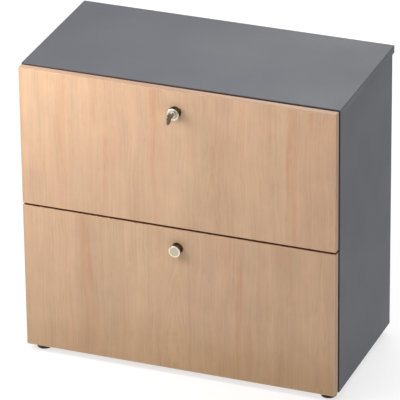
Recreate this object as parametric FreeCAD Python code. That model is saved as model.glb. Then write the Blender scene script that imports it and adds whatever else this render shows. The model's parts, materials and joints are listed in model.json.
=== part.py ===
"""Two-drawer lateral filing cabinet: a grey melamine carcass with two wood-decor drawer fronts.

All sizes are in millimetres. X runs to the right, Z up from the floor. While the pieces are made, Y is
measured back from the outer face of the drawer fronts; at the end everything moves by Y_SHIFT, so that the
origin lies on the floor at the middle of the overall width and depth.
"""
import FreeCAD, Part
import math
import os

V = FreeCAD.Vector

# ---------------------------------------------------------------- driving dimensions
WIDTH = 800.0            # overall width
DEPTH_TOP = 415.0        # front face to the rear edge of the top
DEPTH_SIDE = 400.0       # front face to the rear edge of the sides
HEIGHT = 762.0           # floor to top surface
FOOT_H = 20.0            # floor to underside of carcass
BOARD = 19.0             # board thickness
BAND = 2.0               # edge strip thickness
BAND_R = 1.5             # rounding of the strips
SEAM_R = 0.4             # the same where the top lies on the sides
FRONT_T = 19.0           # drawer front thickness
FRONT_GAP = 4.5          # fronts to carcass
FRONT_REVEAL = 2.0       # front narrower than carcass, each side
FRONT_SPLIT_LO = 398.5   # top of the lower front
FRONT_SPLIT_HI = 403.5   # underside of the upper front
FRONT_TOP = 760.0
FRONT_BOTTOM = 20.0
BACK_T = 8.0
BACK_Y = 382.0
GROOVE_D = 8.0

KNOB_D = 30.0
KNOB_OUT = 21.0
LOCK_OUT = 18.0
LOCK_Z = 706.0
KNOB_Z = 349.0
KEY_OUT = 55.0           # front of the key, in front of the fronts
BOW_L, BOW_H = 24.0, 27.0   # key bow

SHEET = 1.2              # drawer sheet steel
RUN_W = 12.7             # runner width, each side
RUN_H = 45.0             # runner height
RUN_T = 1.2
RUN_L = 350.0
RUN_Y0 = 24.0
UP_SHIFT = 365.0         # upper drawer above the lower one
LOW_BOTTOM = 75.0        # underside of the lower steel drawer
BOX_H = 248.0            # its height to the top flange
RAIL_H = 10.0            # file rail on top of the flange
FILE_SPACING = 330.0     # between the two ribs a folder hangs on
RUNNER_UP = 70.0         # runner centre above the drawer's underside
BOX_Y1 = 361.2           # back of the steel drawer

LOCK_ECC = 7.0           # cam pin radius
ARM = 21.3               # bell crank arms
LOCK_TRAVEL = 2 * LOCK_ECC * math.sin(math.radians(45))   # 9.9
CRANK_HALF = math.degrees(math.asin(LOCK_TRAVEL / 2 / ARM))
PIVOT_X, PIVOT_Z = 362.0, HEIGHT - BOARD - 13.0
BAR_Y = 39.0             # middle of the lock bar
CATCH_UP = 150.0         # catch underside above the drawer's underside

FOOT_X = 368.0
FOOT_YF, FOOT_YR = 40.0, 360.0
FOOT_TRAVEL = 12.0

Y_SHIFT = -(DEPTH_TOP - KEY_OUT) / 2.0

# derived
HX = WIDTH / 2
IN_X = HX - BOARD                    # inner face of the sides
CAR_Y0 = FRONT_T + FRONT_GAP         # front edge of the carcass
TOP_Z0 = HEIGHT - BOARD              # underside of the top
BOT_Z1 = FOOT_H + BOARD              # upper face of the bottom
WALL_X = IN_X - RUN_W                # outer face of the steel drawer

parts = {}


# ---------------------------------------------------------------- helpers
def box(x0, x1, y0, y1, z0, z1):
    return Part.makeBox(x1 - x0, y1 - y0, z1 - z0, V(x0, y0, z0))


def cyl(p, d, r, h):
    return Part.makeCylinder(r, h, V(*p), V(*d))


def cone(p, d, r1, r2, h):
    return Part.makeCone(r1, r2, h, V(*p), V(*d))


def put(shape, p, d):
    """A shape drawn along +Z, moved so that its axis starts at p and runs along d."""
    s = shape.copy()
    s.Placement = FreeCAD.Placement(V(*p), FreeCAD.Rotation(V(0, 0, 1), V(*d)))
    return s


def fuse(items):
    s = items[0]
    if len(items) > 1:
        s = s.multiFuse(items[1:])
    return s.removeSplitter()


def cut(s, tools):
    return s.cut(Part.makeCompound(tools)) if tools else s


def mirror_x(s):
    return s.mirror(V(0, 0, 0), V(1, 0, 0))


def solids(s):
    return list(s.Solids)


def along(e, axis):
    v = e.Vertexes
    if len(v) != 2:
        return False
    d = v[1].Point - v[0].Point
    if d.Length < 1e-6:
        return False
    d.normalize()
    return abs(abs(d.dot(axis)) - 1) < 1e-6


def fillet_lines(s, axis, points, r, tol=0.05):
    """Rounds the straight edges parallel to axis that pass through the given points of the plane across it."""
    a = V(*axis)
    found = []
    for e in s.Edges:
        if along(e, a):
            p = e.Vertexes[0].Point
            q = [c for c, k in zip((p.x, p.y, p.z), (a.x, a.y, a.z)) if abs(k) < 0.5]
            if any(abs(q[0] - u) < tol and abs(q[1] - w) < tol for u, w in points):
                found.append(e)
    return s.makeFillet(r, found) if found else s


def node(name, things):
    out = []
    for t in things:
        out += solids(t)
    parts[name] = out


def banded(x0, x1, y0, y1, z0, z1, normal, sides=("a0", "a1", "b0", "b1"), seam_r=None):
    """A board with glued edge strips. normal is the board's thickness axis; a and b are the other two axes in
    X, Y, Z order. Returns the core and the strips. seam_r is a smaller rounding for the underside."""
    lo, hi = [x0, y0, z0], [x1, y1, z1]
    ax = [k for k in range(3) if k != normal]
    glo, ghi = list(lo), list(hi)
    names = {"a0": (ax[0], 0), "a1": (ax[0], 1), "b0": (ax[1], 0), "b1": (ax[1], 1)}
    for n, (k, end) in names.items():
        if n not in sides:
            if end:
                ghi[k] += 10
            else:
                glo[k] -= 10
    whole = Part.makeBox(*[ghi[k] - glo[k] for k in range(3)], V(*glo))
    low = [e for e in whole.Edges if seam_r and e.BoundBox.ZMax < glo[2] + 1e-6]
    whole = whole.makeFillet(BAND_R, [e for e in whole.Edges if not any(e.isSame(k) for k in low)])
    if low:
        whole = whole.makeFillet(seam_r, [e for e in whole.Edges if e.BoundBox.ZMax < glo[2] + 1e-6])
    whole = whole.common(Part.makeBox(*[hi[k] - lo[k] for k in range(3)], V(*lo)))
    clo, chi = list(lo), list(hi)
    for n in sides:
        k, end = names[n]
        if end:
            chi[k] -= BAND
        else:
            clo[k] += BAND
    core = Part.makeBox(*[chi[k] - clo[k] for k in range(3)], V(*clo))
    strips = []
    for n in sides:
        k, end = names[n]
        slo, shi = list(lo), list(hi)
        if end:
            slo[k] = hi[k] - BAND
        else:
            shi[k] = lo[k] + BAND
        if k == ax[0]:                      # the a strips sit between the b strips
            slo[ax[1]], shi[ax[1]] = clo[ax[1]], chi[ax[1]]
        strips += solids(whole.common(Part.makeBox(*[shi[j] - slo[j] for j in range(3)], V(*slo))))
    return core, strips


def cross_recess(r, depth):
    return [box(-r, r, -0.55, 0.55, -depth, 0.01), box(-0.55, 0.55, -r, r, -depth, 0.01)]


def pan_screw(head_r, head_h, shaft_r, length):
    """Head on +Z side of the seat at z=0, shaft along -Z."""
    head = cyl((0, 0, 0), (0, 0, 1), head_r, head_h)
    top = [e for e in head.Edges if abs(e.BoundBox.ZMin - head_h) < 1e-6 and e.Closed]
    head = head.makeFillet(min(head_h * 0.75, 1.3), top)
    shaft = cyl((0, 0, 0.1), (0, 0, -1), shaft_r, length + 0.1 - 0.8)
    tip = cone((0, 0, -length + 0.8), (0, 0, -1), shaft_r, shaft_r * 0.55, 0.8)
    s = fuse([head, shaft, tip])
    tools = [t.copy() for t in cross_recess(head_r * 0.5, min(1.1, head_h * 0.6))]
    for t in tools:
        t.translate(V(0, 0, head_h))
    return cut(s, tools)


def flush_screw(head_r, head_h, shaft_r, length):
    """Countersunk screw, its flat face at z=0, everything along -Z."""
    head = cone((0, 0, 0), (0, 0, -1), head_r, shaft_r, head_h)
    shaft = cyl((0, 0, -head_h + 0.05), (0, 0, -1), shaft_r, length - head_h)
    s = fuse([head, shaft])
    return cut(s, [box(-head_r * 0.5, head_r * 0.5, -0.4, 0.4, -0.8, 0.01), box(-0.4, 0.4, -head_r * 0.5, head_r * 0.5, -0.8, 0.01)])


def turned(profile, x, z):
    """A turned piece about the Y axis through (x, z), from (radius, y) points of its closed half section."""
    w = Part.makePolygon([V(r, y, 0) for r, y in profile] + [V(profile[0][0], profile[0][1], 0)])
    s = Part.Face(w).revolve(V(0, 0, 0), V(0, 1, 0), 360)
    s.translate(V(x, 0, z))
    return s


# ---------------------------------------------------------------- carcass boards
top_core, top_strips = banded(-HX, HX, CAR_Y0, DEPTH_TOP, TOP_Z0, HEIGHT, 2, seam_r=SEAM_R)
side_core, side_strips = banded(IN_X, HX, CAR_Y0, DEPTH_SIDE, FOOT_H, TOP_Z0, 0, sides=("a0", "a1", "b0"))
left_core, left_strips = mirror_x(side_core), [mirror_x(s) for s in side_strips]
bottom_core, bottom_strips = banded(-IN_X, IN_X, CAR_Y0, DEPTH_SIDE, FOOT_H, BOT_Z1, 2, sides=("b0",))

g = 0.1
back_groove_y = (BACK_Y - g, BACK_Y + BACK_T + g)
top_cuts = [box(-IN_X - GROOVE_D, IN_X + GROOVE_D, *back_groove_y, TOP_Z0 - 1, TOP_Z0 + GROOVE_D)]
side_cuts = [box(IN_X - 1, IN_X + GROOVE_D + 0.2, *back_groove_y, FOOT_H + 11, TOP_Z0 + 1)]
bottom_cuts = [box(-IN_X - 1, IN_X + 1, *back_groove_y, BOT_Z1 - GROOVE_D, BOT_Z1 + 1)]

# channel for the lock bar in the right side, rounded at its stopped lower end
BAR_X0, BAR_X1 = IN_X + 0.3, IN_X + 7.7
BAR_W = 11.5
channel = fuse([box(IN_X - 1, IN_X + 8.2, BAR_Y - 6, BAR_Y + 6, 66, TOP_Z0 + 1), cyl((IN_X - 1, BAR_Y, 66), (1, 0, 0), 6, 9.2)])

# knock-down fittings: cam, bolt and dowel positions
TOP_CAMS_Y, TOP_DOWELS_Y = (84.0, 211.0, 338.0), (116.0, 306.0)
BOT_CAMS_Y, BOT_DOWELS_Y = (96.0, 322.0), (150.0, 268.0)
CAM_IN = 34.0
cams, bolts, dowels = [], [], []


def cam_piece():
    """Turned lock cam, face at z=0, body along -Z; the bolt enters it along +X, 9.5 below the face."""
    body = cyl((0, 0, -0.2), (0, 0, -1), 7.4, 12.2)
    hollow = cyl((-3.4, 0, -9.5), (1, 0, 0), 4.1, 12)
    ring = cut(body, [hollow])
    recess = [box(-4.5, 4.5, -0.7, 0.7, -2.6, 0.1), box(-0.7, 0.7, -4.5, 4.5, -2.6, 0.1)]
    return cut(ring, recess)


def bolt_piece():
    """Connecting bolt along +Z, its shoulder at z=0: thread above, shaft and head below."""
    return fuse([
        cyl((0, 0, -0.2), (0, 0, 1), 2.5, 10.7),
        cyl((0, 0, -1.6), (0, 0, 1), 3.4, 1.6),
        cyl((0, 0, -1.5), (0, 0, -1), 2.6, 30.0),
        cyl((0, 0, -31.0), (0, 0, -1), 3.4, 5.6),
    ])


def dowel_piece():
    d = cyl((0, 0, -20), (0, 0, 1), 4.0, 30)
    return d.makeChamfer(0.9, [e for e in d.Edges if e.Closed])


for y in TOP_CAMS_Y:
    xc = IN_X + 9.5
    c = cam_piece()
    # cam axis along X with its face at the inner side; bolt enters from above
    c.Placement = FreeCAD.Placement(V(IN_X, y, TOP_Z0 - CAM_IN), FreeCAD.Rotation(V(0, 0, 1), V(0, 1, 0), V(-1, 0, 0), "ZYX"))
    cams += [c, mirror_x(c)]
    b = put(bolt_piece(), (xc, y, TOP_Z0), (0, 0, 1))
    bolts += [b, mirror_x(b)]
    side_cuts += [cyl((IN_X - 1, y, TOP_Z0 - CAM_IN), (1, 0, 0), 7.5, 14), cyl((xc, y, TOP_Z0 - CAM_IN), (0, 0, 1), 4.0, CAM_IN + 1)]
    for sx in (1, -1):
        top_cuts.append(cyl((sx * xc, y, TOP_Z0 - 1), (0, 0, 1), 2.52, 12))
for y in TOP_DOWELS_Y:
    xc = IN_X + 9.5
    d = put(dowel_piece(), (xc, y, TOP_Z0), (0, 0, 1))
    dowels += [d, mirror_x(d)]
    side_cuts.append(cyl((xc, y, TOP_Z0 - 21), (0, 0, 1), 4.03, 22))
    for sx in (1, -1):
        top_cuts.append(cyl((sx * xc, y, TOP_Z0 - 1), (0, 0, 1), 4.03, 11.5))
for y in BOT_CAMS_Y:
    zc = FOOT_H + 9.5
    c = cam_piece()
    c.Placement = FreeCAD.Placement(V(IN_X - CAM_IN, y, FOOT_H), FreeCAD.Rotation(V(1, 0, 0), V(0, -1, 0), V(0, 0, -1), "ZYX"))
    cams += [c, mirror_x(c)]
    b = put(bolt_piece(), (IN_X, y, zc), (1, 0, 0))
    bolts += [b, mirror_x(b)]
    side_cuts.append(cyl((IN_X - 1, y, zc), (1, 0, 0), 2.52, 12))
    for sx in (1, -1):
        bottom_cuts += [cyl((sx * (IN_X - CAM_IN), y, FOOT_H - 1), (0, 0, 1), 7.5, 14), cyl((sx * (IN_X - CAM_IN), y, zc), (sx, 0, 0), 4.0, CAM_IN + 1)]
for y in BOT_DOWELS_Y:
    zc = FOOT_H + 9.5
    d = put(dowel_piece(), (IN_X, y, zc), (1, 0, 0))
    dowels += [d, mirror_x(d)]
    side_cuts.append(cyl((IN_X - 1, y, zc), (1, 0, 0), 4.03, 11.5))
    for sx in (1, -1):
        bottom_cuts.append(cyl((sx * (IN_X - 21), y, zc), (sx, 0, 0), 4.03, 22))

# adjustable feet and their sockets
sockets = []
for y in (FOOT_YF, FOOT_YR):
    for sx in (1, -1):
        bottom_cuts.append(cyl((sx * FOOT_X, y, FOOT_H - 1), (0, 0, 1), 7.0, BOARD + 2))
        bottom_cuts.append(cyl((sx * FOOT_X, y, FOOT_H - 1), (0, 0, 1), 11.0, 2.6))
        s = fuse([cyl((sx * FOOT_X, y, FOOT_H + 0.1), (0, 0, 1), 11.0, 1.5), cyl((sx * FOOT_X, y, FOOT_H + 0.1), (0, 0, 1), 7.0, 17.0)])
        s = cut(s, [cyl((sx * FOOT_X, y, FOOT_H - 1), (0, 0, 1), 5.0, 30)])
        sockets.append(s)


def foot(x, y):
    pad = turned([(0, 0), (18.0, 0), (19.0, 1.0), (19.0, 5.5), (17.5, 8.0), (9.5, 10.5), (9.5, 15.5), (4.95, 15.5), (4.95, 6.0), (0, 6.0)], 0, 0)
    pad.rotate(V(0, 0, 0), V(1, 0, 0), 90)
    spindle = cyl((0, 0, 6.0), (0, 0, 1), 4.95, 31.5)
    spindle = spindle.makeChamfer(0.7, [e for e in spindle.Edges if e.Closed and e.BoundBox.ZMin > 33])
    hexa = Part.Face(Part.makePolygon([V(2.9 * math.cos(math.radians(a)), 2.9 * math.sin(math.radians(a)), 32.0) for a in range(0, 361, 60)])).extrude(V(0, 0, 7))
    spindle = spindle.cut(hexa)
    out = []
    for s in (pad, spindle):
        s.translate(V(x, y, 0))
        out.append(s)
    return out


node("foot_front_left", foot(-FOOT_X, FOOT_YF))
node("foot_front_right", foot(FOOT_X, FOOT_YF))
node("foot_rear_left", foot(-FOOT_X, FOOT_YR))
node("foot_rear_right", foot(FOOT_X, FOOT_YR))
node("foot_sockets", sockets)


# ---------------------------------------------------------------- runners
def runner(zc, y0):
    """Right-hand runner: outer rail on the side, middle rail, inner rail on the drawer, two ball cages."""
    xo = IN_X                          # outer rail's back
    t = RUN_T
    h = RUN_H / 2
    y1 = y0 + RUN_L

    def channel_piece(x_web, x_end, half, y_a, y_b, lip, sign):
        """Web at x_web (outer face), flanges to x_end, lips of length lip turned to the middle."""
        wx0, wx1 = sorted((x_web, x_web + sign * t))
        fx0, fx1 = sorted((x_web, x_end))
        items = [box(wx0, wx1, y_a, y_b, zc - half, zc + half),
                 box(fx0, fx1, y_a, y_b, zc + half - t, zc + half),
                 box(fx0, fx1, y_a, y_b, zc - half, zc - half + t)]
        if lip:
            lx0, lx1 = sorted((x_end, x_end - sign * t))
            items += [box(lx0, lx1, y_a, y_b, zc + half - lip, zc + half),
                      box(lx0, lx1, y_a, y_b, zc - half, zc - half + lip)]
        s = fuse(items)
        ends = [(x_web, zc + half), (x_web, zc - half)]
        if lip:
            ends += [(x_end, zc + half), (x_end, zc - half)]
        return fillet_lines(s, (0, 1, 0), ends, 1.0)

    outer = channel_piece(xo, 371.6, h, y0, y1, 4.0, -1)
    middle = channel_piece(378.7, 369.0, 16.8, y0 + 2, y1 - 8, 4.0, -1)
    inner = channel_piece(WALL_X, 376.0, 10.8, y0, y1, 0, 1)
    # end stop tabs of the outer rail
    outer = outer.fuse(box(xo - 9.0, xo - t, y1 - 1.5, y1, zc - 5, zc + 5)).removeSplitter()
    seats = []
    for y in (62.0, 219.0, 348.0):
        outer = outer.cut(cone((xo - t - 0.001, y, zc), (1, 0, 0), 4.2, 2.55, t + 0.002))
        seats.append(y)
    for y in (50.0, 190.0, 330.0):
        inner = inner.cut(cyl((WALL_X - 1, y, zc), (1, 0, 0), 2.05, 4))
        # access window in the middle rail for the wood screws
    for y in (62.0, 348.0):
        middle = middle.cut(cyl((376, y, zc), (1, 0, 0), 5.0, 5))

    def cage(x_web, sign, x_tip, z_race, x_ball, y_a, n, pitch):
        tc = 0.5
        length = n * pitch + 8
        wx0, wx1 = sorted((x_web, x_web + sign * tc))
        fx0, fx1 = sorted((x_web, x_tip))
        items = [box(wx0, wx1, y_a, y_a + length, zc - z_race - tc / 2, zc + z_race + tc / 2),
                 box(fx0, fx1, y_a, y_a + length, zc + z_race - tc / 2, zc + z_race + tc / 2),
                 box(fx0, fx1, y_a, y_a + length, zc - z_race - tc / 2, zc - z_race + tc / 2)]
        s = fuse(items)
        holes, balls = [], []
        for i in range(n):
            y = y_a + 4 + pitch * (i + 0.5)
            for sz in (1, -1):
                z = zc + sz * z_race
                holes.append(cyl((x_ball, y, z - 1), (0, 0, 1), 2.1, 2))
                balls.append(Part.makeSphere(1.95, V(x_ball, y, z)))
        return [s.cut(Part.makeCompound(holes))] + balls

    cage_out = cage(379.45, -1, 373.0, 19.1, 375.3, y0 + 116, 9, 12.0)
    cage_in = cage(377.1, -1, 370.6, 13.1, 372.9, y0 + 119, 9, 12.0)
    return outer, middle, inner, cage_out, cage_in


def both(items):
    return list(items) + [mirror_x(s) for s in items]


carcass_screws = []
LEVELS = {"lower": LOW_BOTTOM, "upper": LOW_BOTTOM + UP_SHIFT}
for level, zb in LEVELS.items():
    zr = zb + RUNNER_UP
    outer, middle, inner, cage_out, cage_in = runner(zr, RUN_Y0)
    node(level + "_runner_outer_rails", both([outer]))
    node(level + "_runner_middle_rails", both([middle]))
    node(level + "_runner_inner_rails", both([inner]))
    node(level + "_outer_ball_cages", both(cage_out))
    node(level + "_inner_ball_cages", both(cage_in))
    for y in (62.0, 219.0, 348.0):
        s = put(flush_screw(4.15, 1.2, 2.5, 12.5), (IN_X - RUN_T, y, zr), (-1, 0, 0))
        carcass_screws += both([s])
        side_cuts.append(cyl((IN_X - 1, y, zr), (1, 0, 0), 2.52, 13))


# ---------------------------------------------------------------- lock gear in the carcass
PIN_X = -LOCK_TRAVEL / 2               # cam pin and fork, lock open
BAR_LIFT = LOCK_TRAVEL
phi = math.radians(CRANK_HALF)
TIP_A = (PIVOT_X - ARM * math.sin(phi), PIVOT_Z - ARM * math.cos(phi))
TIP_B = (PIVOT_X + ARM * math.cos(phi), PIVOT_Z - ARM * math.sin(phi))

cross = fuse([
    box(-16, 346, 36, 38.5, TOP_Z0 - 17, TOP_Z0 - 3),
    box(PIN_X - 11, PIN_X + 11, 36, 38.5, TOP_Z0 - 40, TOP_Z0 - 15),
    box(334, 346, 36, 38.5, TOP_Z0 - 41, TOP_Z0 - 15),
    box(334, 366, 36, 38.5, TOP_Z0 - 41, TOP_Z0 - 27),
])
cross = fillet_lines(cross, (0, 1, 0), [(-16, TOP_Z0 - 3), (346, TOP_Z0 - 3), (334, TOP_Z0 - 41), (366, TOP_Z0 - 41), (366, TOP_Z0 - 27), (PIN_X - 11, TOP_Z0 - 40), (PIN_X + 11, TOP_Z0 - 40)], 3.0)
cross = cut(cross, [
    box(PIN_X - 2.4, PIN_X + 2.4, 35, 40, TOP_Z0 - 42, TOP_Z0 - 28.3), cyl((PIN_X, 35, TOP_Z0 - 28.3), (0, 1, 0), 2.4, 5),
    box(TIP_A[0] - 2.4, TIP_A[0] + 2.4, 35, 40, TIP_A[1] - 0.7, TIP_A[1] + 0.5),
    cyl((TIP_A[0], 35, TIP_A[1] - 0.7), (0, 1, 0), 2.4, 5), cyl((TIP_A[0], 35, TIP_A[1] + 0.5), (0, 1, 0), 2.4, 5),
])
node("cross_bar", [cross])


def arm_plate(p, q, w0, w1, y0, y1):
    """Tapered link between two points of the XZ plane."""
    d = V(q[0] - p[0], 0, q[1] - p[1])
    d.normalize()
    n = V(-d.z, 0, d.x)
    a, b = V(p[0], y0, p[1]), V(q[0], y0, q[1])
    pts = [a + n * w0, b + n * w1, b - n * w1, a - n * w0]
    return Part.Face(Part.makePolygon(pts + [pts[0]])).extrude(V(0, y1 - y0, 0))


cy0, cy1 = 39.0, 41.5
crank = fuse([
    cyl((PIVOT_X, cy0, PIVOT_Z), (0, 1, 0), 6.5, cy1 - cy0),
    arm_plate((PIVOT_X, PIVOT_Z), TIP_A, 5.5, 3.8, cy0, cy1), cyl((TIP_A[0], cy0, TIP_A[1]), (0, 1, 0), 4.0, cy1 - cy0),
    arm_plate((PIVOT_X, PIVOT_Z), TIP_B, 5.0, 2.4, cy0, cy1), cyl((TIP_B[0], cy0, TIP_B[1]), (0, 1, 0), 3.0, cy1 - cy0),
    cyl((TIP_A[0], 35.4, TIP_A[1]), (0, 1, 0), 2.0, 4.0),
])
crank = crank.cut(cyl((PIVOT_X, 30, PIVOT_Z), (0, 1, 0), 3.05, 20))
node("bell_crank", [crank])

bracket = fuse([box(348, 376, 41.8, 43.8, TOP_Z0 - 25, TOP_Z0), box(348, 376, 41.8, 62, TOP_Z0 - 2, TOP_Z0)])
bracket = fillet_lines(bracket, (0, 1, 0), [(348, TOP_Z0 - 25), (376, TOP_Z0 - 25)], 4.0)
bracket = fillet_lines(bracket, (1, 0, 0), [(41.8, TOP_Z0)], 1.5)
bracket = fuse([bracket, cyl((PIVOT_X, 37.4, PIVOT_Z), (0, 1, 0), 4.4, 1.4), cyl((PIVOT_X, 37.4, PIVOT_Z), (0, 1, 0), 3.0, 5.4)])
for x in (355.0, 369.0):
    bracket = bracket.cut(cyl((x, 54, TOP_Z0 - 5), (0, 0, 1), 2.02, 10))
    carcass_screws.append(put(pan_screw(3.8, 2.2, 2.0, 14.0), (x, 54, TOP_Z0 - 2), (0, 0, -1)))
    top_cuts.append(cyl((x, 54, TOP_Z0 - 1), (0, 0, 1), 2.02, 13.2))
node("crank_bracket", [bracket])

NOTCH_Z = TIP_B[1]
CATCH_Z = {k: z + CATCH_UP for k, z in LEVELS.items()}
bar = box(BAR_X0, BAR_X1, BAR_Y - BAR_W / 2, BAR_Y + BAR_W / 2, 72, TOP_Z0 - 11.5)
bar = bar.makeFillet(0.8, [e for e in bar.Edges if along(e, V(0, 0, 1))])
bar = cut(bar, [box(BAR_X0 - 1, 387.0, 20, 60, NOTCH_Z - 3.2, NOTCH_Z + 3.2)] + [cyl((BAR_X0 - 1, BAR_Y, CATCH_Z[k] - 5), (1, 0, 0), 3.0, 5) for k in LEVELS])
node("lock_bar", [bar])
pins = []
for k in LEVELS:
    p = cyl((371.0, BAR_Y, CATCH_Z[k] - 5), (1, 0, 0), 3.0, BAR_X0 + 4 - 371.0)
    pins.append(p.makeChamfer(0.5, [e for e in p.Edges if e.Closed and e.BoundBox.XMax < 372]))
node("lock_bar_pins", pins)

guides = []
for z in (662.0, 436.0, 302.0, 95.0):
    s = box(377.4, IN_X, 24.5, 53.5, z - 9, z + 9)
    s = fillet_lines(s, (1, 0, 0), [(24.5, z - 9), (24.5, z + 9), (53.5, z - 9), (53.5, z + 9)], 3.0)
    for y in (28.5, 49.5):
        s = s.cut(cyl((370, y, z), (1, 0, 0), 1.77, 20))
        carcass_screws.append(put(pan_screw(3.3, 1.9, 1.75, 14.0), (377.4, y, z), (-1, 0, 0)))
        side_cuts.append(cyl((IN_X - 1, y, z), (1, 0, 0), 1.77, 12.5))
    guides.append(s)
for x in (96.0, 268.0):
    s = box(x - 11, x + 11, 28, 47, TOP_Z0 - 21, TOP_Z0)
    s = fillet_lines(s, (1, 0, 0), [(28, TOP_Z0 - 21), (47, TOP_Z0 - 21)], 2.5)
    s = s.cut(box(x - 20, x + 20, 35.7, 38.8, TOP_Z0 - 17.4, TOP_Z0 - 2.6))
    # fixing lugs behind the slot
    lug = box(x - 11, x + 11, 47, 60, TOP_Z0 - 4, TOP_Z0)
    lug = fillet_lines(lug, (0, 0, 1), [(x - 11, 60), (x + 11, 60)], 4.0)
    s = fuse([s, lug])
    for dx in (-5.5, 5.5):
        s = s.cut(cyl((x + dx, 54, TOP_Z0 - 6), (0, 0, 1), 1.77, 10))
        carcass_screws.append(put(pan_screw(3.3, 1.9, 1.75, 14.0), (x + dx, 54, TOP_Z0 - 4), (0, 0, -1)))
        top_cuts.append(cyl((x + dx, 54, TOP_Z0 - 1), (0, 0, 1), 1.77, 11.5))
    guides.append(s)
node("lock_gear_guides", guides)

# finish the boards
node("top_panel", [cut(top_core, top_cuts)])
node("top_panel_edging", top_strips)
left = cut(side_core, side_cuts)
# the left side has no lock guides: leave those pilot holes out
left_cuts = [c for c in side_cuts if not (abs(c.BoundBox.ZLength - 3.54) < 0.01)]
node("left_side_panel", [mirror_x(cut(side_core, left_cuts))])
right = cut(side_core, side_cuts + [channel])
node("right_side_panel", [right])
node("bottom_panel", [cut(bottom_core, bottom_cuts)])
node("carcass_edging", side_strips + left_strips + bottom_strips)
node("back_panel", [box(-IN_X - GROOVE_D + 0.4, IN_X + GROOVE_D - 0.4, BACK_Y, BACK_Y + BACK_T, BOT_Z1 - GROOVE_D + 0.3, TOP_Z0 + GROOVE_D - 0.4)])
node("cam_fittings", cams)
node("connecting_bolts", bolts)
node("wooden_dowels", dowels)

bumpers = []
for x in (-HX + BOARD / 2, HX - BOARD / 2):
    for z in (752.5, 414.0, 390.0, 33.0):
        b = cyl((x, CAR_Y0, z), (0, -1, 0), 4.5, FRONT_GAP - 0.1)
        bumpers.append(b.makeFillet(0.9, [e for e in b.Edges if e.Closed and e.BoundBox.YMax < CAR_Y0 - 1]))
node("front_bumpers", bumpers)


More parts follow.
